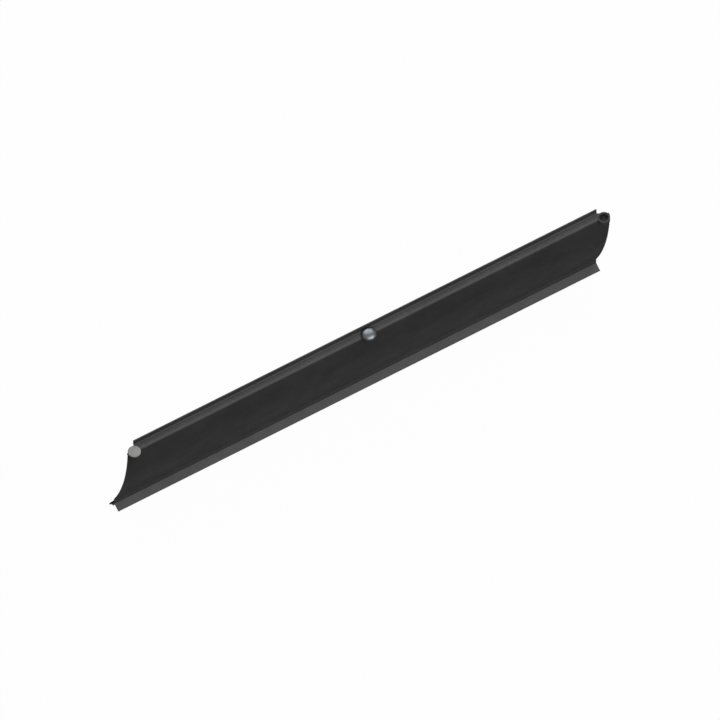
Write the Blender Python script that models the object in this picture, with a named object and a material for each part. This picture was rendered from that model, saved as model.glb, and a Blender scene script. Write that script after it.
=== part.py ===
"""Bare blade of an ATV snow plow: a formed steel moldboard with a bolt-on cutting edge.

+X runs along the blade, +Y is the way it pushes, so the hollow snow face is on the +Y
side and the rounded back on the -Y side, and +Z is up. The origin lies in the middle of
the flat band near the foot of the back, where a push frame bears. Lengths are in
millimetres here and are turned into metres as each mesh is made.
"""

import math

import bmesh
import bpy
from mathutils import Matrix, Vector

MM = 0.001

# Driving sizes
BLADE_LENGTH = 1524.0
BLADE_RISE = 357.5          # of the curved back, from the band to the top corner
BLADE_LEAN = 75.4           # how far the top corner stands behind the band
TOP_ANGLE = 1.9             # of the curved back from upright, at its top
SHEET = 3.0
BEND_INSIDE = 3.0
LIP_RISE = 18.9
TOP_FLANGE = 21.9
BAND_HEIGHT = 18.1
FOOT_ANGLE = 25.0           # of the foot of the sheet from upright
FOOT_LENGTH = 30.0
CORNER_CLIP_X = 30.0
CORNER_CLIP_Y = 16.0
EDGE_THICKNESS = 5.0
EDGE_TOP = 3.0              # down the foot, from its bend
EDGE_TIP = 53.0
EDGE_INSET = 1.0
ANGLE_LEG = 25.0
ANGLE_THICKNESS = 3.0
ANGLE_ROOT = 1.6
ANGLE_INSET = 0.5
BOLT_COUNT = 7
BOLT_END_DISTANCE = 72.0
BOLT_DIAMETER = 9.6
BOLT_PAST_NUT = 3.0
HEAD_OVERHANG = 6.7         # beyond the shank, all round
HEAD_HEIGHT = 5.8
NECK_GROWTH = 0.4           # square neck's side over the shank's diameter
NECK_LENGTH = 4.4
WASHER_RIM = 4.6            # beyond the shank, all round
WASHER_THICKNESS = 2.0
NUT_WALL = 3.7              # from the shank to a flat
NUT_HEIGHT = 8.0
SOCKET_OUTSIDE = 34.0
SOCKET_WALL = 2.5
SOCKET_ABOVE = 3.3          # over the top flange
SOCKET_BELOW = 14.0
SOCKET_END_MARGIN = 2.5     # from the socket's side to the end of the blade
BUSH_BORE = 22.0
BUSH_FLOOR = 2.0
BUSH_RECESS = 0.8
CAP_STEM_LENGTH = 12.0
LEFT_CAP_OVERHANG = 1.0     # beyond the socket, all round
LEFT_CAP_RIM = 3.0
LEFT_CAP_DOME = 2.0
CENTRE_CAP_OVERHANG = 4.9
CENTRE_CAP_RIM = 2.5
CENTRE_CAP_DOME = 10.0

# Facets round each turned piece, steps round each bend, and steps over a dome
BOLT_FACETS = 20
NUT_FACETS = 24
SOCKET_FACETS = 40
LIP_STEPS = 5
CORNER_STEPS = 6
BACK_STEPS = 22
FOOT_STEPS = 3
EDGE_STEPS = 2
DOME_STEPS = 6
SMOOTH_FORMED = 25          # degrees, the sharpest edge shaded smooth
SMOOTH_TURNED = 35

# Clearances
SEAT_GAP = 0.3
HOLE_PLAY = 0.7
WASHER_PLAY = 0.5
NECK_PLAY = 0.5
WASHER_CLEARANCE = 0.5      # from the washer to the root of the angle
STEM_PLAY = 1.0
CAP_LIP_CLEARANCE = 0.5     # from the widest cap to the lip
NOTCH_LIP_CLEARANCE = 1.0   # from the corner cut to the lip
BORE_PAST = 0.15            # past the sheet
BUSH_FOOT_RECESS = 1.0

# Bevels and rounded edges
BAR_ROUND = 0.9
BAR_BACK_ROUND = 0.6
ANGLE_HEEL = 0.8
ANGLE_EDGE = 0.5
ANGLE_TOE = 1.5
SHANK_BEVEL = 0.9
NECK_ROOT = 0.2
HEAD_STEPS = ((0.5, 0.0), (0.0, 0.7), (1.3, 2.9), (4.7, 4.9))  # in from its rim, up from its seat
NUT_CORNER = 0.2
NUT_FOOT_BEVEL = (0.8, 1.3)
NUT_TOP_BEVEL = (0.4, 1.0)
NUT_MOUTH = 0.5
SOCKET_FOOT_BEVEL = 0.5
SOCKET_TOP_BEVEL = 0.8
SOCKET_MOUTH = 0.5
BUSH_SHOULDER = 0.5
BUSH_MOUTH = 1.2
STEM_BEVEL = 1.5
CAP_EDGE = 0.4

# How far a cutter runs past what it cuts
CUT_PAST = 5.0
CUT_BELOW = 8.0
CUT_ABOVE = 40.0
DRILL_PAST = 1.0
NECK_SINK = 0.5             # of the neck into its head

# Derived sizes
HALF = BLADE_LENGTH / 2
BAND_MIDDLE = BAND_HEIGHT / 2
TOP_CORNER_Y = -BLADE_LEAN
TOP_CORNER_Z = BAND_HEIGHT + BLADE_RISE - BAND_MIDDLE
CHORD = math.hypot(BLADE_LEAN, BLADE_RISE)
CHORD_ANGLE = math.degrees(math.atan2(BLADE_LEAN, BLADE_RISE))
HALF_SWEEP = CHORD_ANGLE - TOP_ANGLE
BOTTOM_ANGLE = CHORD_ANGLE + HALF_SWEEP
BACK_RADIUS = CHORD / (2 * math.sin(math.radians(HALF_SWEEP)))
BEND_OUTSIDE = BEND_INSIDE + SHEET
LIP_REAR_Y = TOP_CORNER_Y + TOP_FLANGE
SOCKET_Y = LIP_REAR_Y - CAP_LIP_CLEARANCE - CENTRE_CAP_OVERHANG - SOCKET_OUTSIDE / 2
SOCKET_TOP = TOP_CORNER_Z + SOCKET_ABOVE
SOCKET_FOOT = TOP_CORNER_Z - SOCKET_BELOW
SOCKET_INSIDE = SOCKET_OUTSIDE - 2 * SOCKET_WALL
BUSH_TOP = SOCKET_TOP - BUSH_RECESS
SOCKET_X = HALF - SOCKET_END_MARGIN - SOCKET_OUTSIDE / 2
BOLT_RADIUS = BOLT_DIAMETER / 2
BOLT_PITCH = (BLADE_LENGTH - 2 * BOLT_END_DISTANCE) / (BOLT_COUNT - 1)
HOLE_RADIUS = BOLT_RADIUS + HOLE_PLAY
NECK_SIDE = BOLT_DIAMETER + NECK_GROWTH
HEAD_RADIUS = BOLT_RADIUS + HEAD_OVERHANG
WASHER_RADIUS = BOLT_RADIUS + WASHER_RIM
NUT_INRADIUS = BOLT_RADIUS + NUT_WALL
NUT_BORE = BOLT_RADIUS + SEAT_GAP
BOLT_DOWN = ANGLE_THICKNESS + ANGLE_ROOT + WASHER_CLEARANCE + WASHER_RADIUS  # along the foot
DOWN_FOOT = Vector((0, math.sin(math.radians(FOOT_ANGLE)), -math.cos(math.radians(FOOT_ANGLE))))
OUT_OF_FOOT = Vector((0, math.cos(math.radians(FOOT_ANGLE)), math.sin(math.radians(FOOT_ANGLE))))
FOOT_CORNER = Vector((0, 0, -BAND_MIDDLE))

for old in list(bpy.data.objects):
    bpy.data.objects.remove(old, do_unlink=True)


def material(name, colour, roughness, metallic):
    made = bpy.data.materials.new(name)
    made.use_nodes = True
    shader = made.node_tree.nodes["Principled BSDF"]
    shader.inputs["Base Color"].default_value = (*colour, 1.0)
    shader.inputs["Roughness"].default_value = roughness
    shader.inputs["Metallic"].default_value = metallic
    made.diffuse_color = (*colour, 1.0)
    return made


PAINT = ((0.030, 0.031, 0.033), 0.45, 0.0)
EDGE_STEEL = ((0.022, 0.022, 0.023), 0.50, 0.3)
ZINC = ((0.42, 0.43, 0.43), 0.35, 0.9)
NYLON = ((0.045, 0.045, 0.047), 0.55, 0.0)
PALE_CAP = ((0.27, 0.27, 0.26), 0.50, 0.0)
BRIGHT_CAP = ((0.60, 0.62, 0.65), 0.16, 1.0)


def node(name, mesh_builder, finish, smooth_angle=None):
    """One object with its own material, from a bmesh in millimetres."""
    mesh = bpy.data.meshes.new(name)
    bmesh.ops.recalc_face_normals(mesh_builder, faces=mesh_builder.faces)
    bmesh.ops.scale(mesh_builder, vec=(MM, MM, MM), verts=mesh_builder.verts)
    mesh_builder.to_mesh(mesh)
    mesh_builder.free()
    if smooth_angle is not None:
        mesh.shade_smooth()
        mesh.set_sharp_from_angle(angle=math.radians(smooth_angle))
    obj = bpy.data.objects.new(name, mesh)
    bpy.context.scene.collection.objects.link(obj)
    if finish is not None:
        mesh.materials.append(material(name + "_finish", *finish))
    return obj


def extruded(outline, axis, start, end):
    """A prism: an outline of two coordinates, pushed along the third axis."""
    bm = bmesh.new()

    def place(a, b, along):
        if axis == "X":
            return (along, a, b)
        return (a, b, along)

    low = [bm.verts.new(place(a, b, start)) for a, b in outline]
    high = [bm.verts.new(place(a, b, end)) for a, b in outline]
    count = len(outline)
    for i in range(count):
        j = (i + 1) % count
        bm.faces.new((low[i], low[j], high[j], high[i]))
    bm.faces.new(list(reversed(low)))
    bm.faces.new(high)
    return bm


def turned(profile, segments):
    """A solid or ring turned about local Z from a closed outline of (radius, height)."""
    bm = bmesh.new()
    rings = []
    for radius, height in profile:
        if radius <= 0:
            rings.append([bm.verts.new((0, 0, height))])
            continue
        ring = []
        for k in range(segments):
            turn = 2 * math.pi * k / segments
            ring.append(bm.verts.new((radius * math.cos(turn), radius * math.sin(turn), height)))
        rings.append(ring)
    count = len(rings)
    for i in range(count):
        first = rings[i]
        second = rings[(i + 1) % count]
        if len(first) == 1 and len(second) == 1:
            continue
        for k in range(segments):
            n = (k + 1) % segments
            if len(first) == 1:
                bm.faces.new((first[0], second[k], second[n]))
            elif len(second) == 1:
                bm.faces.new((first[k], first[n], second[0]))
            else:
                bm.faces.new((first[k], first[n], second[n], second[k]))
    return bm


def boxed(size_x, size_y, low, high):
    outline = [
        (-size_x / 2, -size_y / 2),
        (size_x / 2, -size_y / 2),
        (size_x / 2, size_y / 2),
        (-size_x / 2, size_y / 2),
    ]
    return extruded(outline, "Z", low, high)


def helper(name, builder, matrix=None):
    """A cutter or a piece to be joined: never rendered."""
    obj = node(name, builder, None)
    if matrix is not None:
        obj.matrix_world = matrix
    obj.hide_render = True
    obj.display_type = "WIRE"
    return obj


def boolean(target, other, operation):
    modifier = target.modifiers.new(other.name, "BOOLEAN")
    modifier.object = other
    modifier.operation = operation
    modifier.solver = "EXACT"


def rounded(corners, steps):
    """An outline whose corners, given as (a, b, radius), are rounded."""
    outline = []
    count = len(corners)
    for i in range(count):
        a, b, radius = corners[i]
        here = Vector((a, b))
        if radius <= 0:
            outline.append((a, b))
            continue
        before = Vector(corners[i - 1][:2]) - here
        after = Vector(corners[(i + 1) % count][:2]) - here
        before.normalize()
        after.normalize()
        opening = before.angle(after)
        reach = radius / math.tan(opening / 2)
        centre = here + (before + after).normalized() * (radius / math.sin(opening / 2))
        start = here + before * reach - centre
        end = here + after * reach - centre
        sweep = math.atan2(start.x * end.y - start.y * end.x, start.dot(end))
        for k in range(steps + 1):
            turn = sweep * k / steps
            cos_turn = math.cos(turn)
            sin_turn = math.sin(turn)
            outline.append(
                (
                    centre.x + start.x * cos_turn - start.y * sin_turn,
                    centre.y + start.x * sin_turn + start.y * cos_turn,
                )
            )
    return outline


def foot_point(out, down):
    """(y, z) of a point measured square to the foot of the sheet and down along it."""
    point = FOOT_CORNER + OUT_OF_FOOT * out + DOWN_FOOT * down
    return point.y, point.z


def bolt_matrix(x):
    """Local Z out of the snow side of the foot, local Y down it, local X along the blade."""
    point = FOOT_CORNER + DOWN_FOOT * BOLT_DOWN
    turn = Matrix((Vector((1, 0, 0)), DOWN_FOOT, OUT_OF_FOOT)).transposed()
    return Matrix.Translation(Vector((x, point.y, point.z)) * MM) @ turn.to_4x4()


def sheet_outline():
    """The formed sheet's cross-section: its back surface, then its snow surface."""
    back = []
    front = []
    spot = Vector((0.0, 0.0))
    heading = -90.0

    def record():
        way = math.radians(heading)
        left = Vector((-math.sin(way), math.cos(way)))
        back.append(spot.copy())
        front.append(spot + left * SHEET)

    def straight(length):
        nonlocal spot
        way = math.radians(heading)
        spot = spot + Vector((math.cos(way), math.sin(way))) * length
        record()

    def bend(angle, radius, steps):
        nonlocal spot, heading
        side = 1 if angle > 0 else -1
        way = math.radians(heading)
        centre = spot + Vector((-math.sin(way), math.cos(way))) * radius * side
        for _ in range(steps):
            heading += angle / steps
            way = math.radians(heading)
            spot = centre - Vector((-math.sin(way), math.cos(way))) * radius * side
            record()

    def reach(angle, radius):
        return radius * math.tan(math.radians(abs(angle)) / 2)

    top_start = TOP_ANGLE + math.degrees(reach(90, BEND_OUTSIDE) / BACK_RADIUS)
    top_bend = 90 + top_start
    record()
    straight(LIP_RISE - reach(90, BEND_INSIDE))
    bend(-90, BEND_INSIDE, LIP_STEPS)
    straight(TOP_FLANGE - reach(90, BEND_INSIDE) - reach(top_bend, BEND_OUTSIDE))
    bend(top_bend, BEND_OUTSIDE, CORNER_STEPS)
    bend(BOTTOM_ANGLE - top_start, BACK_RADIUS, BACK_STEPS)
    bend(-BOTTOM_ANGLE, BEND_INSIDE, FOOT_STEPS)
    straight(BAND_HEIGHT - reach(BOTTOM_ANGLE, BEND_INSIDE) - reach(FOOT_ANGLE, BEND_OUTSIDE))
    band_end = spot.copy()
    corner_below = reach(FOOT_ANGLE, BEND_OUTSIDE)
    bend(FOOT_ANGLE, BEND_OUTSIDE, FOOT_STEPS)
    straight(FOOT_LENGTH - corner_below)
    shift = Vector((-band_end.x, -BAND_MIDDLE + corner_below - band_end.y))
    outline = [p + shift for p in back] + [p + shift for p in reversed(front)]
    return [(p.x, p.y) for p in outline]


def disc_outline(x, y, radius, segments):
    points = []
    for k in range(segments):
        turn = 2 * math.pi * k / segments
        points.append((x + radius * math.cos(turn), y + radius * math.sin(turn)))
    return points


STATIONS = (("left", -SOCKET_X), ("centre", 0.0), ("right", SOCKET_X))
BOLT_PLACES = [-HALF + BOLT_END_DISTANCE + BOLT_PITCH * k for k in range(BOLT_COUNT)]

# Moldboard
sheet = extruded(sheet_outline(), "X", -HALF, HALF)
moldboard = node("moldboard", sheet, PAINT, SMOOTH_FORMED)
for place, x in STATIONS:
    notch = disc_outline(x, SOCKET_Y, SOCKET_OUTSIDE / 2 + SEAT_GAP, SOCKET_FACETS)
    prism = extruded(notch, "Z", SOCKET_FOOT - SEAT_GAP, SOCKET_TOP + CUT_ABOVE)
    boolean(moldboard, helper("cut_socket_" + place, prism), "DIFFERENCE")
lip_front = LIP_REAR_Y + SHEET + CUT_PAST
for place, side in (("left", -1), ("right", 1)):
    clip = [
        (side * (HALF + CUT_PAST), LIP_REAR_Y - CORNER_CLIP_Y),
        (side * HALF, LIP_REAR_Y - CORNER_CLIP_Y),
        (side * (HALF - CORNER_CLIP_X), LIP_REAR_Y - NOTCH_LIP_CLEARANCE),
        (side * (HALF - CORNER_CLIP_X), lip_front),
        (side * (HALF + CUT_PAST), lip_front),
    ]
    prism = extruded(clip, "Z", TOP_CORNER_Z - SHEET - CUT_BELOW, SOCKET_TOP + CUT_ABOVE)
    boolean(moldboard, helper("cut_corner_" + place, prism), "DIFFERENCE")

# Angle behind the foot, its free leg standing out behind the blade as a ledge
near = -SEAT_GAP
far = near - ANGLE_LEG
thin = near - ANGLE_THICKNESS
angle_corners = [
    (near, 0.0, ANGLE_HEEL),
    (near, ANGLE_LEG, ANGLE_EDGE),
    (thin, ANGLE_LEG, ANGLE_TOE),
    (thin, ANGLE_THICKNESS, ANGLE_ROOT),
    (far, ANGLE_THICKNESS, ANGLE_TOE),
    (far, 0.0, ANGLE_EDGE),
]
angle_outline = [foot_point(a, b) for a, b in rounded(angle_corners, FOOT_STEPS)]
angle_bar = extruded(angle_outline, "X", -HALF + ANGLE_INSET, HALF - ANGLE_INSET)
rear_angle = node("rear_angle", angle_bar, PAINT, SMOOTH_FORMED)

# Cutting edge on the snow side of the foot
edge_low = SHEET + SEAT_GAP
edge_high = edge_low + EDGE_THICKNESS
edge_corners = [
    (edge_low, EDGE_TOP, BAR_BACK_ROUND),
    (edge_high, EDGE_TOP, BAR_ROUND),
    (edge_high, EDGE_TIP, BAR_ROUND),
    (edge_low, EDGE_TIP, BAR_BACK_ROUND),
]
edge_outline = [foot_point(a, b) for a, b in rounded(edge_corners, EDGE_STEPS)]
edge_bar = extruded(edge_outline, "X", -HALF + EDGE_INSET, HALF - EDGE_INSET)
cutting_edge = node("cutting_edge", edge_bar, EDGE_STEEL, SMOOTH_FORMED)

# Carriage bolts, washers and nuts
square_hole = NECK_SIDE + 2 * NECK_PLAY
head_seat = edge_high + SEAT_GAP
washer_top = thin - SEAT_GAP
washer_foot = washer_top - WASHER_THICKNESS
nut_top = washer_foot - SEAT_GAP
nut_foot = nut_top - NUT_HEIGHT
bolt_tip = nut_foot - BOLT_PAST_NUT
for number, x in enumerate(BOLT_PLACES, 1):
    where = bolt_matrix(x)
    square = boxed(square_hole, square_hole, edge_low - DRILL_PAST, edge_high + DRILL_PAST)
    boolean(cutting_edge, helper(f"cut_neck_{number}", square, where), "DIFFERENCE")
    bore = [
        (0.0, thin - DRILL_PAST),
        (HOLE_RADIUS, thin - DRILL_PAST),
        (HOLE_RADIUS, SHEET + BORE_PAST),
        (0.0, SHEET + BORE_PAST),
    ]
    drill = helper(f"cut_bore_{number}", turned(bore, BOLT_FACETS), where)
    boolean(moldboard, drill, "DIFFERENCE")
    boolean(rear_angle, drill, "DIFFERENCE")

    bolt_profile = [
        (0.0, bolt_tip),
        (BOLT_RADIUS - SHANK_BEVEL, bolt_tip),
        (BOLT_RADIUS, bolt_tip + SHANK_BEVEL),
        (BOLT_RADIUS, head_seat - NECK_LENGTH + NECK_ROOT),
        (BOLT_RADIUS, head_seat),
    ]
    bolt_profile += [(HEAD_RADIUS - inward, head_seat + up) for inward, up in HEAD_STEPS]
    bolt_profile.append((0.0, head_seat + HEAD_HEIGHT))
    bolt = node(f"edge_bolt_{number}", turned(bolt_profile, BOLT_FACETS), ZINC, SMOOTH_TURNED)
    bolt.matrix_world = where
    neck = boxed(NECK_SIDE, NECK_SIDE, head_seat - NECK_LENGTH, head_seat + NECK_SINK)
    boolean(bolt, helper(f"join_neck_{number}", neck, where), "UNION")

    ring = [
        (BOLT_RADIUS + WASHER_PLAY, washer_foot),
        (WASHER_RADIUS, washer_foot),
        (WASHER_RADIUS, washer_top),
        (BOLT_RADIUS + WASHER_PLAY, washer_top),
    ]
    washer = node(f"edge_washer_{number}", turned(ring, BOLT_FACETS), ZINC, SMOOTH_TURNED)
    washer.matrix_world = where

    nut_round = NUT_INRADIUS / math.cos(math.pi / 6)
    nut_profile = [
        (NUT_BORE + NUT_MOUTH, nut_foot),
        (NUT_INRADIUS - NUT_FOOT_BEVEL[0], nut_foot),
        (nut_round + NUT_CORNER, nut_foot + NUT_FOOT_BEVEL[1]),
        (nut_round + NUT_CORNER, nut_top - NUT_TOP_BEVEL[1]),
        (NUT_INRADIUS - NUT_TOP_BEVEL[0], nut_top),
        (NUT_BORE + NUT_MOUTH, nut_top),
        (NUT_BORE, nut_top - NUT_MOUTH),
        (NUT_BORE, nut_foot + NUT_MOUTH),
    ]
    nut = node(f"edge_nut_{number}", turned(nut_profile, NUT_FACETS), ZINC, SMOOTH_TURNED)
    nut.matrix_world = where
    flats = extruded(
        disc_outline(0.0, 0.0, nut_round, 6), "Z", nut_foot - DRILL_PAST, nut_top + DRILL_PAST
    )
    boolean(nut, helper(f"trim_nut_{number}", flats, where), "INTERSECT")

# Post sockets in the top of the back, each lined with a cup-shaped bush
for place, x in STATIONS:
    at = Matrix.Translation(Vector((x, SOCKET_Y, 0.0)) * MM)
    outside = SOCKET_OUTSIDE / 2
    inside = SOCKET_INSIDE / 2
    wall = [
        (inside, SOCKET_FOOT),
        (outside - SOCKET_FOOT_BEVEL, SOCKET_FOOT),
        (outside, SOCKET_FOOT + SOCKET_FOOT_BEVEL),
        (outside, SOCKET_TOP - SOCKET_TOP_BEVEL),
        (outside - SOCKET_TOP_BEVEL, SOCKET_TOP),
        (inside + SOCKET_MOUTH, SOCKET_TOP),
        (inside, SOCKET_TOP - SOCKET_MOUTH),
    ]
    socket = node("post_socket_" + place, turned(wall, SOCKET_FACETS), PAINT, SMOOTH_TURNED)
    socket.matrix_world = at
    bush_foot = SOCKET_FOOT + BUSH_FOOT_RECESS
    bush_radius = inside - SEAT_GAP
    lining = [
        (0.0, bush_foot),
        (bush_radius, bush_foot),
        (bush_radius, BUSH_TOP - BUSH_SHOULDER),
        (bush_radius - BUSH_SHOULDER, BUSH_TOP),
        (BUSH_BORE / 2 + BUSH_MOUTH, BUSH_TOP),
        (BUSH_BORE / 2, BUSH_TOP - BUSH_MOUTH),
        (BUSH_BORE / 2, bush_foot + BUSH_FLOOR),
        (0.0, bush_foot + BUSH_FLOOR),
    ]
    bush = node("socket_bush_" + place, turned(lining, SOCKET_FACETS), NYLON, SMOOTH_TURNED)
    bush.matrix_world = at


def plug(name, x, overhang, rim, dome, finish):
    """A domed head on a stem. Its origin lies on its axis at its seat, and it lifts out along Z."""
    head_radius = SOCKET_OUTSIDE / 2 + overhang
    stem_radius = BUSH_BORE / 2 - STEM_PLAY
    profile = [
        (0.0, -CAP_STEM_LENGTH),
        (stem_radius - STEM_BEVEL, -CAP_STEM_LENGTH),
        (stem_radius, STEM_BEVEL - CAP_STEM_LENGTH),
        (stem_radius, 0.0),
        (head_radius - CAP_EDGE, 0.0),
        (head_radius, CAP_EDGE),
        (head_radius, rim),
    ]
    for k in range(1, DOME_STEPS):
        turn = math.pi / 2 * k / DOME_STEPS
        profile.append((head_radius * math.cos(turn), rim + dome * math.sin(turn)))
    profile.append((0.0, rim + dome))
    made = node(name, turned(profile, SOCKET_FACETS), finish, SMOOTH_TURNED)
    made.matrix_world = Matrix.Translation(Vector((x, SOCKET_Y, SOCKET_TOP + SEAT_GAP)) * MM)


plug("cap_left", -SOCKET_X, LEFT_CAP_OVERHANG, LEFT_CAP_RIM, LEFT_CAP_DOME, PALE_CAP)
plug("cap_centre", 0.0, CENTRE_CAP_OVERHANG, CENTRE_CAP_RIM, CENTRE_CAP_DOME, BRIGHT_CAP)
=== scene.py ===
"""Looks for the bare plow blade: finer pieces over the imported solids, finishes, light and camera.

Lengths are in metres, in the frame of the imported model: +X runs along the blade, the hollow
snow face is on the +Y side, the rounded back on the -Y side, and +Z is up.
"""

import math

import bmesh
import bpy
from mathutils import Matrix, Vector

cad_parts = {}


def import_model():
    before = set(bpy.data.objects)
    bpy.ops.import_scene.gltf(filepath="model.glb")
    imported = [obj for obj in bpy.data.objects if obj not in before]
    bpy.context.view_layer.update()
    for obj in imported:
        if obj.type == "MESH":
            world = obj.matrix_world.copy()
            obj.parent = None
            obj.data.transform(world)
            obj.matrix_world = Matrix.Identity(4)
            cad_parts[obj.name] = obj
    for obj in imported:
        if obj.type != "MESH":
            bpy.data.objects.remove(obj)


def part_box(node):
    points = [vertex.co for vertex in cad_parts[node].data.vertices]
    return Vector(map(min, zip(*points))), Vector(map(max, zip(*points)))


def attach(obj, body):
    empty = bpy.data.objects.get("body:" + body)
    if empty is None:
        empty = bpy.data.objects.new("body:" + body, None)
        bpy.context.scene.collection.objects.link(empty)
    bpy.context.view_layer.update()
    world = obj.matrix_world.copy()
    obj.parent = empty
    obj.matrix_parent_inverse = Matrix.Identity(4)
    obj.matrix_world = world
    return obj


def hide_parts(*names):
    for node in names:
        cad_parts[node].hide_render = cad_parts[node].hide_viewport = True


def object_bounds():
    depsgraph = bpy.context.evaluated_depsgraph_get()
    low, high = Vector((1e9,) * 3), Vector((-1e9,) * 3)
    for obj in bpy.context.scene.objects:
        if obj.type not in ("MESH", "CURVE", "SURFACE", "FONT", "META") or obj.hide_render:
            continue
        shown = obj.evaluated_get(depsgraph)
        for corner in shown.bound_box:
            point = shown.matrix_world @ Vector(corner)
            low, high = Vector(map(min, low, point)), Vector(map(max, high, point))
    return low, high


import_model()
cad_low, cad_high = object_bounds()

MM = 0.001
ROOT = "blade"

# Sizes that the frame's boxes don't give
SHEET = 3.0 * MM
BEND_INSIDE = 3.0 * MM
BEND_OUTSIDE = BEND_INSIDE + SHEET
TOP_ANGLE = 1.9
FOOT_ANGLE = 25.0
BAND_HEIGHT = 18.1 * MM
BACK_RISE = 357.5 * MM
BACK_LEAN = 75.4 * MM
TOP_FLANGE = 21.9 * MM
LIP_RISE = 18.9 * MM
FOOT_LENGTH = 30.0 * MM
CLIP_X = 30.0 * MM
CLIP_Y = 16.0 * MM
GAP = 0.3 * MM
SHRINK = 0.08 * MM          # keeps a finely rounded bar inside its faceted solid
EDGE_TOP = 3.0 * MM
EDGE_TIP = 53.0 * MM
EDGE_THICKNESS = 5.0 * MM
ANGLE_LEG = 25.0 * MM
ANGLE_THICKNESS = 3.0 * MM
BOLT_DOWN = 14.5 * MM
BOLT_RADIUS = 4.8 * MM
BOLT_PAST_NUT = 3.0 * MM
HOLE_RADIUS = 5.5 * MM
BOLT_COUNT = 7
HEAD_RADIUS = 11.5 * MM
HEAD_RIM = 0.8 * MM
HEAD_CROWN = 5.8 * MM
THREAD_PITCH = 1.5 * MM
THREAD_DEPTH = 0.75 * MM
WASHER_THICKNESS = 2.0 * MM
WASHER_RADIUS = 9.35 * MM
WASHER_BORE = 5.3 * MM
NUT_THICKNESS = 8.0 * MM
NUT_ACROSS = 17.0 * MM
COLLAR_RADIUS = 7.9 * MM
BUSH_BORE = 11.0 * MM
BUSH_FLOOR = 2.0 * MM
STEM_RADIUS = 10.0 * MM
OVERCUT = 1.0 * MM          # a through cut reaches this far past the surface
BEYOND = 30.0 * MM          # a trimming cutter ends this far outside the sheet

# Heights along a bolt's axis: 0 is the foot's rear surface, up is out of the snow side
BOLT_SEAT = SHEET + 2 * GAP + EDGE_THICKNESS
WASHER_TOP = -2 * GAP - ANGLE_THICKNESS
WASHER_FOOT = WASHER_TOP - WASHER_THICKNESS
NUT_TOP = WASHER_FOOT - GAP
NUT_FOOT = NUT_TOP - NUT_THICKNESS

# View: the picture's width, and how far its centre lies right of and above the foot corner
AZIMUTH = -30.0
ELEVATION = 60.0
VIEW_WIDTH = 1.97152
SHIFT_RIGHT = 13.01 * MM
SHIFT_UP = 62.84 * MM
CAMERA_DISTANCE = 4.0


def box(name):
    low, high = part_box(name)
    return Vector(low), Vector(high)


sheet_high = box("moldboard")[1]
HALF = sheet_high.x
FOOT_CORNER = Vector((0, 0, -BAND_HEIGHT / 2))
TOP_CORNER = Vector((0, -BACK_LEAN, BAND_HEIGHT / 2 + BACK_RISE))
DOWN_FOOT = Vector((0, math.sin(math.radians(FOOT_ANGLE)), -math.cos(math.radians(FOOT_ANGLE))))
OUT_OF_FOOT = Vector((0, math.cos(math.radians(FOOT_ANGLE)), math.sin(math.radians(FOOT_ANGLE))))
PLACES = ("left", "centre", "right")


# Meshes


def object_from(name, bm, finish=None):
    bmesh.ops.recalc_face_normals(bm, faces=bm.faces)
    mesh = bpy.data.meshes.new(name)
    bm.to_mesh(mesh)
    bm.free()
    obj = bpy.data.objects.new(name, mesh)
    bpy.context.scene.collection.objects.link(obj)
    if finish is not None:
        mesh.materials.append(finish)
    return obj


def extruded(outline, place, start, end):
    """A prism. place turns an outline point and a distance along into a position."""
    bm = bmesh.new()
    low = [bm.verts.new(place(a, b, start)) for a, b in outline]
    high = [bm.verts.new(place(a, b, end)) for a, b in outline]
    count = len(outline)
    for i in range(count):
        j = (i + 1) % count
        bm.faces.new((low[i], low[j], high[j], high[i]))
    bm.faces.new(list(reversed(low)))
    bm.faces.new(high)
    return bm


def along_x(a, b, x):
    return (x, a, b)


def along_z(a, b, z):
    return (a, b, z)


def turned(profile, segments, matrix):
    """A closed outline of (radius, height) turned about local Z."""
    bm = bmesh.new()
    rings = []
    for radius, height in profile:
        if radius < 1e-7:
            rings.append([bm.verts.new(matrix @ Vector((0, 0, height)))])
            continue
        ring = []
        for k in range(segments):
            turn = 2 * math.pi * k / segments
            spot = Vector((radius * math.cos(turn), radius * math.sin(turn), height))
            ring.append(bm.verts.new(matrix @ spot))
        rings.append(ring)
    for i, first in enumerate(rings):
        second = rings[(i + 1) % len(rings)]
        if len(first) == 1 and len(second) == 1:
            continue
        for k in range(segments):
            n = (k + 1) % segments
            if len(first) == 1:
                bm.faces.new((first[0], second[k], second[n]))
            elif len(second) == 1:
                bm.faces.new((first[k], first[n], second[0]))
            else:
                bm.faces.new((first[k], first[n], second[n], second[k]))
    return bm


def settle(obj):
    """Applies the object's modifiers."""
    bpy.context.view_layer.update()
    graph = bpy.context.evaluated_depsgraph_get()
    mesh = bpy.data.meshes.new_from_object(obj.evaluated_get(graph))
    obj.modifiers.clear()
    obj.data = mesh


def combine(obj, other, operation):
    modifier = obj.modifiers.new(other.name, "BOOLEAN")
    modifier.object = other
    modifier.operation = operation
    modifier.solver = "EXACT"
    settle(obj)
    bpy.data.objects.remove(other, do_unlink=True)


def soften(obj, width):
    """Rounds the sharp edges."""
    modifier = obj.modifiers.new("soften", "BEVEL")
    modifier.width = width
    modifier.segments = 2
    modifier.limit_method = "ANGLE"
    modifier.angle_limit = math.radians(40)
    settle(obj)


def shade(obj, smooth):
    """Smooth shading up to an angle, with the normals of flat faces kept square to them."""
    obj.data.shade_smooth()
    obj.data.set_sharp_from_angle(angle=math.radians(smooth))
    modifier = obj.modifiers.new("flat", "WEIGHTED_NORMAL")
    modifier.keep_sharp = True
    settle(obj)


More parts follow.
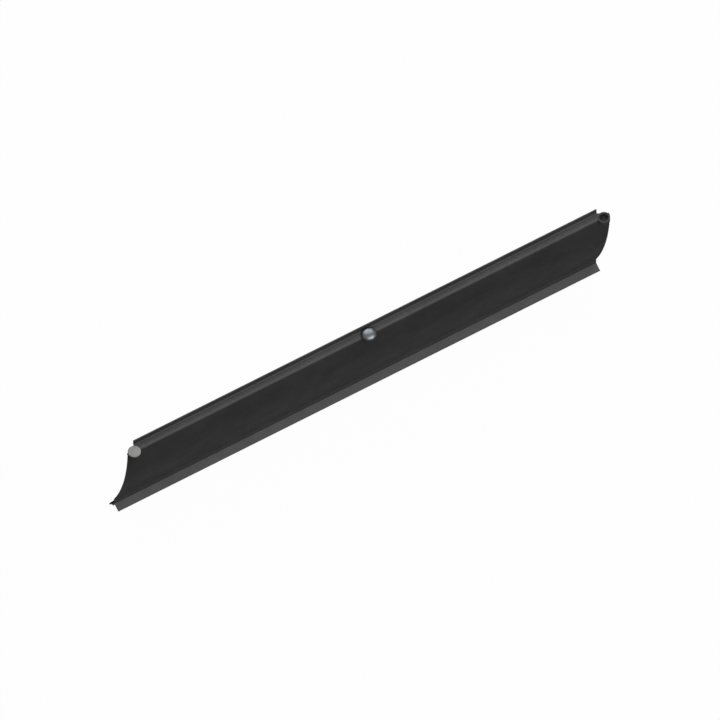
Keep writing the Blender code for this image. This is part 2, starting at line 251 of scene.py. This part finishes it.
def rounded(corners, steps):
    """An outline whose corners, given as (a, b, radius), are rounded."""
    outline = []
    count = len(corners)
    for i in range(count):
        a, b, radius = corners[i]
        here = Vector((a, b))
        if radius <= 0:
            outline.append((a, b))
            continue
        before = (Vector(corners[i - 1][:2]) - here).normalized()
        after = (Vector(corners[(i + 1) % count][:2]) - here).normalized()
        opening = before.angle(after)
        reach = radius / math.tan(opening / 2)
        centre = here + (before + after).normalized() * (radius / math.sin(opening / 2))
        start = here + before * reach - centre
        end = here + after * reach - centre
        sweep = math.atan2(start.x * end.y - start.y * end.x, start.dot(end))
        for k in range(steps + 1):
            turn = sweep * k / steps
            x = centre.x + start.x * math.cos(turn) - start.y * math.sin(turn)
            y = centre.y + start.x * math.sin(turn) + start.y * math.cos(turn)
            outline.append((x, y))
    return outline


def disc(x, y, radius, segments):
    points = []
    for k in range(segments):
        turn = 2 * math.pi * k / segments
        points.append((x + radius * math.cos(turn), y + radius * math.sin(turn)))
    return points


def foot_point(out, down):
    point = FOOT_CORNER + OUT_OF_FOOT * out + DOWN_FOOT * down
    return point.y, point.z


def bolt_frame(x):
    """Local Z out of the snow side of the foot, local Y down it, local X along the blade."""
    turn = Matrix((Vector((1, 0, 0)), DOWN_FOOT, OUT_OF_FOOT)).transposed()
    point = FOOT_CORNER + DOWN_FOOT * BOLT_DOWN
    return Matrix.Translation(Vector((x, point.y, point.z))) @ turn.to_4x4()


def sheet_outline():
    """The formed sheet's cross-section: its back surface, then its snow surface."""
    chord = math.hypot(BACK_LEAN, BACK_RISE)
    chord_angle = math.degrees(math.atan2(BACK_LEAN, BACK_RISE))
    bottom_angle = 2 * chord_angle - TOP_ANGLE
    radius = chord / (2 * math.sin(math.radians(chord_angle - TOP_ANGLE)))
    back = []
    front = []
    spot = Vector((0.0, 0.0))
    heading = -90.0

    def left():
        way = math.radians(heading)
        return Vector((-math.sin(way), math.cos(way)))

    def record():
        back.append(spot.copy())
        front.append(spot + left() * SHEET)

    def straight(length):
        nonlocal spot
        way = math.radians(heading)
        spot = spot + Vector((math.cos(way), math.sin(way))) * length
        record()

    def bend(angle, size, steps):
        nonlocal spot, heading
        side = 1 if angle > 0 else -1
        centre = spot + left() * size * side
        for _ in range(steps):
            heading += angle / steps
            spot = centre - left() * size * side
            record()

    def reach(angle, size):
        return size * math.tan(math.radians(abs(angle)) / 2)

    top_start = TOP_ANGLE + math.degrees(reach(90, BEND_OUTSIDE) / radius)
    top_bend = 90 + top_start
    record()
    straight(LIP_RISE - reach(90, BEND_INSIDE))
    bend(-90, BEND_INSIDE, 10)
    straight(TOP_FLANGE - reach(90, BEND_INSIDE) - reach(top_bend, BEND_OUTSIDE))
    bend(top_bend, BEND_OUTSIDE, 14)
    bend(bottom_angle - top_start, radius, 64)
    bend(-bottom_angle, BEND_INSIDE, 6)
    straight(BAND_HEIGHT - reach(bottom_angle, BEND_INSIDE) - reach(FOOT_ANGLE, BEND_OUTSIDE))
    band_end = spot.copy()
    below = reach(FOOT_ANGLE, BEND_OUTSIDE)
    bend(FOOT_ANGLE, BEND_OUTSIDE, 8)
    straight(FOOT_LENGTH - below)
    shift = Vector((-band_end.x, FOOT_CORNER.z + below - band_end.y))
    return [tuple(p + shift) for p in back] + [tuple(p + shift) for p in reversed(front)]


# Finishes


COAT = (0.074, 0.074, 0.076)
# Pale grey mixed into the coat as painted light: top light on up-facing faces, bounce light towards the
# bottom
PAINTED_LIGHT_TONE = (0.26, 0.26, 0.263)


def new_material(name, roughness, metallic, specular):
    made = bpy.data.materials.new(name)
    made.use_nodes = True
    shader = made.node_tree.nodes["Principled BSDF"]
    shader.inputs["Roughness"].default_value = roughness
    shader.inputs["Metallic"].default_value = metallic
    shader.inputs["Specular IOR Level"].default_value = specular
    return made, made.node_tree, shader


def node_of(tree, kind, **settings):
    made = tree.nodes.new(kind)
    for key, value in settings.items():
        setattr(made, key, value)
    return made


def place_of(tree, stretch=(1, 1, 1), turn=(0, 0, 0)):
    """Object coordinates, turned and stretched."""
    where = node_of(tree, "ShaderNodeTexCoord")
    mapping = node_of(tree, "ShaderNodeMapping")
    mapping.inputs["Scale"].default_value = stretch
    mapping.inputs["Rotation"].default_value = turn
    tree.links.new(where.outputs["Object"], mapping.inputs["Vector"])
    return mapping.outputs["Vector"]


def noise(tree, vector, scale, detail=4.0, roughness=0.55, distortion=0.0):
    made = node_of(tree, "ShaderNodeTexNoise")
    made.inputs["Scale"].default_value = scale
    made.inputs["Detail"].default_value = detail
    made.inputs["Roughness"].default_value = roughness
    made.inputs["Distortion"].default_value = distortion
    tree.links.new(vector, made.inputs["Vector"])
    return made.outputs["Fac"]


def remap(tree, value, low, high, to_low, to_high, smooth=False):
    made = node_of(tree, "ShaderNodeMapRange")
    made.interpolation_type = "SMOOTHSTEP" if smooth else "LINEAR"
    for socket, number in zip(("From Min", "From Max", "To Min", "To Max"), (low, high, to_low, to_high)):
        made.inputs[socket].default_value = number
    tree.links.new(value, made.inputs["Value"])
    return made.outputs["Result"]


def times(tree, first, second):
    made = node_of(tree, "ShaderNodeMath", operation="MULTIPLY")
    tree.links.new(first, made.inputs[0])
    tree.links.new(second, made.inputs[1])
    return made.outputs[0]


def mixed(tree, factor, first, second):
    """A colour mix; first and second are sockets or colours."""
    made = node_of(tree, "ShaderNodeMix", data_type="RGBA")
    tree.links.new(factor, made.inputs["Factor"])
    for socket, value in ((made.inputs[6], first), (made.inputs[7], second)):
        if isinstance(value, tuple):
            socket.default_value = (*value, 1.0)
        else:
            tree.links.new(value, socket)
    return made.outputs[2]


def bump(tree, shader, height, strength, distance):
    made = node_of(tree, "ShaderNodeBump")
    made.inputs["Strength"].default_value = strength
    made.inputs["Distance"].default_value = distance
    tree.links.new(height, made.inputs["Height"])
    tree.links.new(made.outputs["Normal"], shader.inputs["Normal"])


def scratches(tree, turn, share, scale=9.0):
    """Thin streaks: 1 on a scratch, 0 elsewhere."""
    streak = noise(tree, place_of(tree, (1, 14, 90), turn), scale, 3.0, 0.6, 0.4)
    patch = noise(tree, place_of(tree), 7.0, 2.0)
    thin = remap(tree, streak, 1 - share, 1 - share + 0.025, 0, 1, True)
    return times(tree, thin, remap(tree, patch, 0.48, 0.62, 0, 1, True))


def rubbed_edges(tree):
    """Patchy wear along the top of the lip and at the two ends of the blade."""
    split = node_of(tree, "ShaderNodeSeparateXYZ")
    tree.links.new(place_of(tree), split.inputs[0])
    along = node_of(tree, "ShaderNodeMath", operation="ABSOLUTE")
    tree.links.new(split.outputs["X"], along.inputs[0])
    worn = node_of(tree, "ShaderNodeMath", operation="MAXIMUM")
    at_end = remap(tree, along.outputs[0], HALF - 2.5 * MM, HALF, 0, 1)
    on_top = remap(tree, split.outputs["Z"], sheet_high.z - 2.0 * MM, sheet_high.z, 0, 1)
    tree.links.new(at_end, worn.inputs[0])
    tree.links.new(on_top, worn.inputs[1])
    patchy = remap(tree, noise(tree, place_of(tree, (1, 3, 3)), 60.0, 6.0, 0.7), 0.5, 0.66, 0, 0.8)
    return times(tree, worn.outputs[0], patchy)


def painted_top_light_mask(tree, low, high):
    """0 on upright faces, rising to 1 on level ones: where the painted top light goes."""
    geometry = node_of(tree, "ShaderNodeNewGeometry")
    split = node_of(tree, "ShaderNodeSeparateXYZ")
    tree.links.new(geometry.outputs["Normal"], split.inputs[0])
    return remap(tree, split.outputs["Z"], low, high, 0, 1)


def painted_bounce_light(tree, most):
    """Painted bounce light: the lower part of the blade paler, fading out upwards."""
    split = node_of(tree, "ShaderNodeSeparateXYZ")
    tree.links.new(place_of(tree), split.inputs[0])
    low_down = remap(tree, split.outputs["Z"], 0.27, 0.13, 0, most)
    patchy = remap(tree, noise(tree, place_of(tree, (1, 1, 0.4)), 24.0, 6.0, 0.7), 0.3, 0.7, 0.7, 1.3)
    return times(tree, low_down, patchy)


def powder_coat(name, base, top_light_amount):
    """Satin charcoal powder coat: orange peel, cloudy tone, hairline scuffs, painted bounce light that
    pales the lower part, and painted top light that pales up-facing faces.
    """
    made, tree, shader = new_material(name, 0.5, 0.0, 0.4)
    dark = tuple(c * 0.84 for c in base)
    pale = tuple(c * 1.16 for c in base)
    cloud = noise(tree, place_of(tree), 9.0, 6.0, 0.7)
    colour = mixed(tree, remap(tree, cloud, 0.35, 0.65, 0, 1), dark, pale)
    speck = noise(tree, place_of(tree), 700.0, 2.0)
    dusty = tuple(c * 1.7 + 0.006 for c in base)
    colour = mixed(tree, remap(tree, speck, 0.58, 0.7, 0, 0.6), colour, dusty)
    scuff_tone = tuple(c * 2.2 + 0.01 for c in base)
    scuffed = scratches(tree, (0.1, 0.0, 0.05), 0.31)
    colour = mixed(tree, remap(tree, scuffed, 0, 1, 0, 0.7), colour, scuff_tone)
    colour = mixed(tree, rubbed_edges(tree), colour, scuff_tone)
    # Painted bounce light: the lower part mixed towards the pale grey
    colour = mixed(tree, painted_bounce_light(tree, 0.21), colour, PAINTED_LIGHT_TONE)
    # Painted top light: up-facing faces mixed towards the pale grey, in patches
    top_light_patches = remap(tree, noise(tree, place_of(tree), 16.0, 5.0, 0.6), 0.3, 0.7, top_light_amount * 0.9, top_light_amount)
    painted_top_light = times(tree, painted_top_light_mask(tree, -0.02, 0.45), top_light_patches)
    colour = mixed(tree, painted_top_light, colour, PAINTED_LIGHT_TONE)
    tree.links.new(colour, shader.inputs["Base Color"])
    rough = remap(tree, noise(tree, place_of(tree), 22.0, 4.0), 0.3, 0.7, 0.42, 0.6)
    tree.links.new(rough, shader.inputs["Roughness"])
    peel = noise(tree, place_of(tree), 420.0, 2.0, 0.5)
    bump(tree, shader, peel, 1.0, 0.6 * MM)
    return made


def worn_steel(name, base, bare):
    """Black coated wear bar: rubbed towards bare steel in streaks near its tip."""
    made, tree, shader = new_material(name, 0.5, 0.35, 0.3)
    down = node_of(tree, "ShaderNodeSeparateXYZ")
    tree.links.new(place_of(tree, (1, 1, 1), (math.radians(FOOT_ANGLE), 0, 0)), down.inputs[0])
    tip = (Matrix.Rotation(math.radians(FOOT_ANGLE), 3, "X") @ (FOOT_CORNER + DOWN_FOOT * EDGE_TIP)).z
    near_tip = remap(tree, down.outputs["Z"], tip + 12 * MM, tip, 0, 1, True)
    ragged = remap(tree, noise(tree, place_of(tree, (1, 4, 4)), 40.0, 6.0, 0.7), 0.36, 0.56, 0, 1)
    rubbed = times(tree, near_tip, ragged)
    cloud = noise(tree, place_of(tree), 14.0, 5.0)
    dark = tuple(c * 0.8 for c in base)
    pale = tuple(c * 1.25 for c in base)
    colour = mixed(tree, remap(tree, cloud, 0.35, 0.65, 0, 1), dark, pale)
    colour = mixed(tree, rubbed, colour, bare)
    colour = mixed(tree, scratches(tree, (0.4, 0.3, 0.1), 0.33, 14.0), colour, bare)
    tree.links.new(colour, shader.inputs["Base Color"])
    tree.links.new(remap(tree, cloud, 0.3, 0.7, 0.42, 0.6), shader.inputs["Roughness"])
    bump(tree, shader, noise(tree, place_of(tree, (1, 3, 3)), 160.0, 5.0, 0.6), 0.4, 0.3 * MM)
    return made


def plated(name, base, roughness, spangle):
    """Zinc or chrome plate: metal with a mottled tone and fine wipe marks."""
    made, tree, shader = new_material(name, roughness, 1.0, 0.5)
    mottle = noise(tree, place_of(tree), spangle, 3.0, 0.5)
    dark = tuple(c * 0.8 for c in base)
    colour = mixed(tree, remap(tree, mottle, 0.4, 0.6, 0, 1), dark, base)
    tree.links.new(colour, shader.inputs["Base Color"])
    wiped = noise(tree, place_of(tree, (1, 1, 6)), 160.0, 4.0)
    rough = remap(tree, wiped, 0.3, 0.7, roughness * 0.8, roughness * 1.3)
    tree.links.new(rough, shader.inputs["Roughness"])
    bump(tree, shader, wiped, 0.04, 0.1 * MM)
    return made


def moulded(name, base, roughness):
    """Moulded plastic: fine spark texture with slightly uneven tone."""
    made, tree, shader = new_material(name, roughness, 0.0, 0.35)
    cloud = noise(tree, place_of(tree), 60.0, 4.0)
    dark = tuple(c * 0.93 for c in base)
    pale = tuple(c * 1.06 for c in base)
    colour = mixed(tree, remap(tree, cloud, 0.35, 0.65, 0, 1), dark, pale)
    tree.links.new(colour, shader.inputs["Base Color"])
    rough = remap(tree, cloud, 0.3, 0.7, roughness - 0.06, roughness + 0.08)
    tree.links.new(rough, shader.inputs["Roughness"])
    bump(tree, shader, noise(tree, place_of(tree), 1500.0, 2.0), 0.3, 0.1 * MM)
    return made


# The last argument sets how strong the painted top light is
paint = powder_coat("charcoal_paint", COAT, 0.22)
# A lit copy of the charcoal paint: more painted top light, so the ledge under the overhang reads as
# brightly lit
lit_ledge_paint = powder_coat("charcoal_paint_ledge_lit", COAT, 0.30)
edge_finish = worn_steel("dark_edge_steel", (0.020, 0.020, 0.021), (0.24, 0.235, 0.23))
zinc = plated("zinc_plate", (0.62, 0.63, 0.62), 0.28, 260.0)
chrome = plated("bright_chrome", (0.33, 0.36, 0.385), 0.30, 120.0)
nylon = moulded("black_nylon", (0.050, 0.050, 0.052), 0.5)
pale_plastic = moulded("pale_grey_plastic", (0.44, 0.44, 0.43), 0.5)


# Pieces


def put(piece, body, material_slot, *nodes, smooth=40):
    """Shades a piece, puts it in its body, and hides the imported nodes that it stands for."""
    shade(piece, smooth)
    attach(piece, body)
    if nodes:
        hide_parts(*nodes)


def bolt_places():
    """Where the bolts stand along the blade."""
    places = []
    for k in range(1, BOLT_COUNT + 1):
        low, high = box(f"edge_bolt_{k}")
        places.append((low.x + high.x) / 2)
    return places


def drill_holes(piece, low, high):
    """Round holes for the bolts, from low to high along each bolt."""
    for x in bolt_places():
        bore = [(0, low), (HOLE_RADIUS, low), (HOLE_RADIUS, high), (0, high)]
        combine(piece, object_from("drill", turned(bore, 40, bolt_frame(x))), "DIFFERENCE")


def make_moldboard():
    piece = object_from("moldboard_sheet", extruded(sheet_outline(), along_x, -HALF, HALF), paint)
    for place in PLACES:
        low, high = box("post_socket_" + place)
        radius = (high.x - low.x) / 2 + GAP
        outline = disc((low.x + high.x) / 2, (low.y + high.y) / 2, radius, 96)
        notch = object_from("notch", extruded(outline, along_z, low.z - GAP, high.z + BEYOND))
        combine(piece, notch, "DIFFERENCE")
    inner = TOP_CORNER.y + TOP_FLANGE
    for side in (-1, 1):
        corners = [
            (side * (HALF + BEYOND), inner - CLIP_Y, 0),
            (side * HALF, inner - CLIP_Y, 0),
            (side * (HALF - CLIP_X), inner - 1.0 * MM, 2.0 * MM),
            (side * (HALF - CLIP_X), inner + BEYOND, 0),
            (side * (HALF + BEYOND), inner + BEYOND, 0),
        ]
        low = TOP_CORNER.z - 2 * BEND_OUTSIDE
        clip = object_from("clip", extruded(rounded(corners, 4), along_z, low, sheet_high.z + BEYOND))
        combine(piece, clip, "DIFFERENCE")
    drill_holes(piece, -2 * OVERCUT, SHEET + GAP / 2)
    soften(piece, 0.35 * MM)
    put(piece, ROOT, "charcoal_paint", "moldboard")


def make_rear_angle():
    low, high = box("rear_angle")
    near = -GAP
    thin = near - ANGLE_THICKNESS
    far = near - ANGLE_LEG
    corners = [
        (near, 0.0, 0.8 * MM),
        (near, ANGLE_LEG, 0.5 * MM),
        (thin, ANGLE_LEG, 1.5 * MM),
        (thin, ANGLE_THICKNESS, 1.6 * MM),
        (far, ANGLE_THICKNESS, 1.5 * MM),
        (far, 0.0, 0.5 * MM),
    ]
    outline = [foot_point(a, b) for a, b in rounded(corners, 8)]
    # The rear angle takes the lit copy of the paint, with extra painted top light
    piece = object_from("rear_angle_bar", extruded(outline, along_x, low.x, high.x), lit_ledge_paint)
    drill_holes(piece, thin - OVERCUT, OVERCUT)
    soften(piece, 0.3 * MM)
    put(piece, ROOT, "charcoal_paint", "rear_angle")


def make_cutting_edge():
    low, high = box("cutting_edge")
    inside = SHEET + GAP
    outside = inside + EDGE_THICKNESS - SHRINK
    tip = EDGE_TIP - SHRINK
    corners = [
        (inside, EDGE_TOP, 0.6 * MM),
        (outside, EDGE_TOP, 0.9 * MM),
        (outside, tip, 0.9 * MM),
        (inside, tip, 0.6 * MM),
    ]
    outline = [foot_point(a, b) for a, b in rounded(corners, 6)]
    piece = object_from("cutting_edge_bar", extruded(outline, along_x, low.x, high.x), edge_finish)
    half = BOLT_RADIUS + 0.7 * MM
    square = [(-half, -half), (half, -half), (half, half), (-half, half)]
    for x in bolt_places():
        bm = extruded(square, along_z, inside - OVERCUT, outside + OVERCUT)
        bmesh.ops.transform(bm, matrix=bolt_frame(x), verts=bm.verts)
        combine(piece, object_from("square", bm), "DIFFERENCE")
    soften(piece, 0.4 * MM)
    put(piece, ROOT, "dark_edge_steel", "cutting_edge")


def thread(radius, start, end, pitch, depth):
    """Outline points of a thread's crests and roots, from start up to end."""
    points = []
    height = start
    while height + pitch <= end:
        points.append((radius - depth, height))
        points.append((radius, height + pitch * 0.4))
        points.append((radius, height + pitch * 0.6))
        height += pitch
    points.append((radius - depth, height))
    return points


def make_carriage_bolt(number, where):
    """A threaded shank and a domed head, over a square neck."""
    tip = NUT_FOOT - BOLT_PAST_NUT
    shank = BOLT_RADIUS - 0.2 * MM
    dome_foot = BOLT_SEAT + HEAD_RIM
    profile = [(0.0, tip), (BOLT_RADIUS - 1.1 * MM, tip)]
    profile += thread(BOLT_RADIUS, tip + 0.6 * MM, BOLT_SEAT - 6.5 * MM, THREAD_PITCH, THREAD_DEPTH)
    profile += [(shank, BOLT_SEAT - 6.0 * MM), (shank, BOLT_SEAT), (HEAD_RADIUS - 0.4 * MM, BOLT_SEAT)]
    profile += [(HEAD_RADIUS, BOLT_SEAT + 0.35 * MM), (HEAD_RADIUS, dome_foot)]
    steps = 12
    for k in range(1, steps):
        turn = math.pi / 2 * k / steps
        height = dome_foot + (HEAD_CROWN - HEAD_RIM) * math.sin(turn)
        profile.append((HEAD_RADIUS * math.cos(turn) ** 0.8, height))
    profile.append((0.0, BOLT_SEAT + HEAD_CROWN))
    bolt = object_from(f"carriage_bolt_{number}", turned(profile, 48, where), zinc)
    half = BOLT_RADIUS + 0.2 * MM
    edge = 0.8 * MM
    square = [(-half, -half, edge), (half, -half, edge), (half, half, edge), (-half, half, edge)]
    bm = extruded(rounded(square, 3), along_z, BOLT_SEAT - 4.6 * MM, BOLT_SEAT + 0.6 * MM)
    bmesh.ops.transform(bm, matrix=where, verts=bm.verts)
    combine(bolt, object_from("neck", bm), "UNION")
    put(bolt, ROOT, "zinc_plate", f"edge_bolt_{number}")


def make_flat_washer(number, where):
    rim = 0.35 * MM
    lip = 0.2 * MM
    ring = [
        (WASHER_BORE, WASHER_FOOT + lip),
        (WASHER_BORE + lip, WASHER_FOOT),
        (WASHER_RADIUS - rim, WASHER_FOOT),
        (WASHER_RADIUS, WASHER_FOOT + 0.3 * MM),
        (WASHER_RADIUS, WASHER_TOP - 0.3 * MM),
        (WASHER_RADIUS - rim, WASHER_TOP),
        (WASHER_BORE + lip, WASHER_TOP),
        (WASHER_BORE, WASHER_TOP - lip),
    ]
    washer = object_from(f"flat_washer_{number}", turned(ring, 64, where), zinc)
    put(washer, ROOT, "zinc_plate", f"edge_washer_{number}")


def make_lock_nut(number, where):
    """A turned blank with a collar, cut to a hexagon."""
    across = NUT_ACROSS / 2 / math.cos(math.pi / 6)
    inner = BOLT_RADIUS + GAP
    lead = 0.6 * MM
    profile = [
        (inner + lead, NUT_FOOT),
        (COLLAR_RADIUS - 0.7 * MM, NUT_FOOT),
        (COLLAR_RADIUS, NUT_FOOT + 0.7 * MM),
        (COLLAR_RADIUS, NUT_FOOT + 1.5 * MM),
        (COLLAR_RADIUS + 0.7 * MM, NUT_FOOT + 1.7 * MM),
        (across + 0.3 * MM, NUT_FOOT + 2.9 * MM),
        (across + 0.3 * MM, NUT_TOP - 1.1 * MM),
        (COLLAR_RADIUS + 0.4 * MM, NUT_TOP),
        (inner + lead, NUT_TOP),
        (inner, NUT_TOP - lead),
        (inner, NUT_FOOT + lead),
    ]
    nut = object_from(f"lock_nut_{number}", turned(profile, 72, where), zinc)
    bm = extruded(disc(0, 0, across, 6), along_z, NUT_FOOT - OVERCUT, NUT_TOP + OVERCUT)
    bmesh.ops.transform(bm, matrix=where, verts=bm.verts)
    combine(nut, object_from("hexagon", bm), "INTERSECT")
    put(nut, ROOT, "zinc_plate", f"edge_nut_{number}", smooth=25)


def make_bolt_sets():
    for number, x in enumerate(bolt_places(), 1):
        where = bolt_frame(x)
        make_carriage_bolt(number, where)
        make_flat_washer(number, where)
        make_lock_nut(number, where)


def axis_at(name, z):
    low, high = box(name)
    return Matrix.Translation(Vector(((low.x + high.x) / 2, (low.y + high.y) / 2, z)))


def make_sockets():
    for place in PLACES:
        name = "post_socket_" + place
        low, high = box(name)
        bush_low, bush_high = box("socket_bush_" + place)
        outside = (high.x - low.x) / 2
        inside = (bush_high.x - bush_low.x) / 2 + GAP
        floor_top = bush_low.z + BUSH_FLOOR
        corners = [
            (inside, low.z, 0.4 * MM),
            (outside, low.z, 0.7 * MM),
            (outside, high.z, 0.9 * MM),
            (inside, high.z, 0.7 * MM),
        ]
        tube = object_from(name + "_tube", turned(rounded(corners, 4), 128, axis_at(name, 0)), paint)
        put(tube, ROOT, "charcoal_paint", name)
        lining = [
            (0.0, bush_low.z, 0.0),
            (inside - GAP, bush_low.z, 0.4 * MM),
            (inside - GAP, bush_high.z, 0.6 * MM),
            (BUSH_BORE, bush_high.z, 1.2 * MM),
            (BUSH_BORE, floor_top, 0.8 * MM),
            (0.0, floor_top, 0.0),
        ]
        bush = object_from("bush_" + place, turned(rounded(lining, 5), 96, axis_at(name, 0)), nylon)
        put(bush, ROOT, "black_nylon", "socket_bush_" + place)


def make_cap(name, piece_name, body, finish, material_slot, rim, thickness):
    """A plug whose stem stands in the bush under a domed head of the given thickness."""
    low, high = box(name)
    radius = (high.x - low.x) / 2
    seat = high.z - thickness
    stem = STEM_RADIUS
    plug = [(0.0, low.z), (stem - 1.5 * MM, low.z), (stem - 0.4 * MM, low.z + 0.5 * MM)]
    plug += [(stem, low.z + 1.5 * MM), (stem, seat), (radius - 0.5 * MM, seat)]
    plug += [(radius - 0.12 * MM, seat + 0.15 * MM), (radius, seat + 0.5 * MM), (radius, seat + rim)]
    height = high.z - seat - rim
    steps = 20
    for k in range(1, steps):
        turn = math.pi / 2 * k / steps
        plug.append((radius * math.cos(turn), seat + rim + height * math.sin(turn)))
    plug.append((0.0, high.z))
    piece = object_from(piece_name, turned(plug, 128, axis_at(name, 0)), finish)
    put(piece, body, material_slot, name)


def weld_bead(name, route, size, ripple):
    """A bead laid as overlapping ripples along a route of points."""
    lengths = [0.0]
    for before, after in zip(route, route[1:]):
        lengths.append(lengths[-1] + (after - before).length)
    total = lengths[-1]
    steps = max(8, int(total / ripple * 5))
    sides = 12
    bm = bmesh.new()
    rings = []
    for k in range(steps + 1):
        travel = total * k / steps
        index = max(i for i in range(len(lengths) - 1) if lengths[i] <= travel + 1e-9)
        part = (travel - lengths[index]) / (lengths[index + 1] - lengths[index])
        centre = route[index].lerp(route[index + 1], part)
        way = (route[index + 1] - route[index]).normalized()
        side = way.cross(Vector((0, 0, 1)))
        side = side.normalized() if side.length > 1e-6 else Vector((1, 0, 0))
        over = side.cross(way)
        phase = (travel / ripple) % 1.0
        ends = min(1.0, math.sqrt(max(0.0, min(travel, total - travel)) / (1.5 * size)) + 0.05)
        radius = size * (0.84 + 0.16 * phase) * ends
        ring = []
        for m in range(sides):
            turn = 2 * math.pi * m / sides
            ring.append(bm.verts.new(centre + (side * math.cos(turn) + over * math.sin(turn)) * radius))
        rings.append(ring)
    for first, second in zip(rings, rings[1:]):
        for m in range(sides):
            n = (m + 1) % sides
            bm.faces.new((first[m], first[n], second[n], second[m]))
    bm.faces.new(list(reversed(rings[0])))
    bm.faces.new(rings[-1])
    put(object_from(name, bm, paint), ROOT, "charcoal_paint", smooth=60)


def make_welds():
    """Stitches along the toe of the angle, and a bead round each socket on the flange."""
    stitch = 45 * MM
    y, z = foot_point(-1.4 * MM, ANGLE_LEG + 0.8 * MM)
    places = bolt_places()
    for number, (x, following) in enumerate(zip(places, places[1:]), 1):
        middle = (x + following) / 2
        route = [Vector((middle + stitch * (k / 10 - 0.5), y, z)) for k in range(11)]
        weld_bead(f"toe_weld_{number}", route, 1.9 * MM, 2.2 * MM)
    for place in PLACES:
        low, high = box("post_socket_" + place)
        centre_x = (low.x + high.x) / 2
        centre_y = (low.y + high.y) / 2
        radius = (high.x - low.x) / 2 + 0.5 * MM
        # Degrees of the bead's two ends, round the socket from +X
        first, last = {"left": (14, 78), "centre": (14, 166), "right": (102, 166)}[place]
        route = []
        for k in range(31):
            turn = math.radians(first + (last - first) * k / 30)
            x = centre_x + radius * math.cos(turn)
            y = centre_y + radius * math.sin(turn)
            route.append(Vector((x, y, sheet_high.z - LIP_RISE)))
        weld_bead("socket_weld_" + place, route, 1.5 * MM, 1.9 * MM)


make_moldboard()
make_rear_angle()
make_cutting_edge()
make_bolt_sets()
make_sockets()
make_cap("cap_left", "plug_left", "left_cap", pale_plastic, "pale_grey_plastic", 3.0 * MM, 5.0 * MM)
make_cap("cap_centre", "plug_centre", "centre_cap", chrome, "bright_chrome", 2.5 * MM, 12.5 * MM)
make_welds()


# Stage, light and camera


def stage_material(name, glow, albedo):
    made = bpy.data.materials.new(name)
    made.use_nodes = True
    shader = made.node_tree.nodes["Principled BSDF"]
    shader.inputs["Base Color"].default_value = (albedo, albedo, albedo, 1.0)
    shader.inputs["Roughness"].default_value = 1.0
    shader.inputs["Specular IOR Level"].default_value = 0.0
    shader.inputs["Emission Color"].default_value = (1.0, 1.0, 1.0, 1.0)
    shader.inputs["Emission Strength"].default_value = glow
    return made


def make_stage():
    """A pale floor under the cutting edge and a pale backdrop all round. Neither lights the blade."""
    reach = 9.0
    bm = bmesh.new()
    bmesh.ops.create_circle(bm, cap_ends=True, segments=96, radius=reach)
    bmesh.ops.translate(bm, vec=(0, 0, cad_low[2] - 0.5 * MM), verts=bm.verts)
    floor = object_from("floor", bm, stage_material("pale_floor", 0.97, 0.04))
    bm = bmesh.new()
    bmesh.ops.create_icosphere(bm, subdivisions=4, radius=reach)
    bmesh.ops.translate(bm, vec=(0, 0, cad_low[2]), verts=bm.verts)
    backdrop = object_from("backdrop", bm, stage_material("pale_backdrop", 1.0, 0.0))
    for obj in (floor, backdrop):
        obj.visible_diffuse = False
        obj.visible_glossy = False
        obj.visible_shadow = False


def softbox(name, position, target, size_x, size_y, power):
    light = bpy.data.lights.new(name, "AREA")
    light.shape = "RECTANGLE"
    light.size = size_x
    light.size_y = size_y
    light.energy = power
    obj = bpy.data.objects.new(name, light)
    bpy.context.scene.collection.objects.link(obj)
    obj.location = position
    aim = Vector(target) - Vector(position)
    obj.rotation_euler = aim.to_track_quat("-Z", "Y").to_euler()


def make_world(above, below):
    world = bpy.data.worlds.new("studio")
    world.use_nodes = True
    tree = world.node_tree
    background = tree.nodes["Background"]
    where = tree.nodes.new("ShaderNodeTexCoord")
    split = tree.nodes.new("ShaderNodeSeparateXYZ")
    tree.links.new(where.outputs["Generated"], split.inputs[0])
    height = remap(tree, split.outputs["Z"], -0.25, 0.25, 0, 1, True)
    tree.links.new(mixed(tree, height, below, above), background.inputs["Color"])
    bpy.context.scene.world = world


def make_camera():
    a = math.radians(AZIMUTH)
    e = math.radians(ELEVATION)
    right = Vector((math.cos(a), math.sin(a), 0))
    back = Vector((math.sin(a) * math.cos(e), -math.cos(a) * math.cos(e), math.sin(e)))
    up = back.cross(right)
    centre = FOOT_CORNER + right * SHIFT_RIGHT + up * SHIFT_UP
    data = bpy.data.cameras.new("camera")
    data.type = "ORTHO"
    data.ortho_scale = VIEW_WIDTH
    data.clip_end = 50
    camera = bpy.data.objects.new("camera", data)
    bpy.context.scene.collection.objects.link(camera)
    turn = Matrix((right, up, back)).transposed().to_4x4()
    camera.matrix_world = Matrix.Translation(centre + back * CAMERA_DISTANCE) @ turn
    bpy.context.scene.camera = camera


make_stage()
make_world((0.25, 0.25, 0.255), (0.085, 0.084, 0.082))
softbox("overhead", (0.0, 0.0, 2.9), (0.0, 0.0, 0.2), 3.4, 2.6, 4)
softbox("key", (0.3, -1.8, 3.0), (0.0, 0.0, 0.2), 3.4, 2.2, 32)
softbox("rear", (0.6, 2.0, 2.6), (0.0, 0.0, 0.2), 3.4, 2.0, 24)
make_camera()
bpy.context.scene.view_settings.view_transform = "Standard"
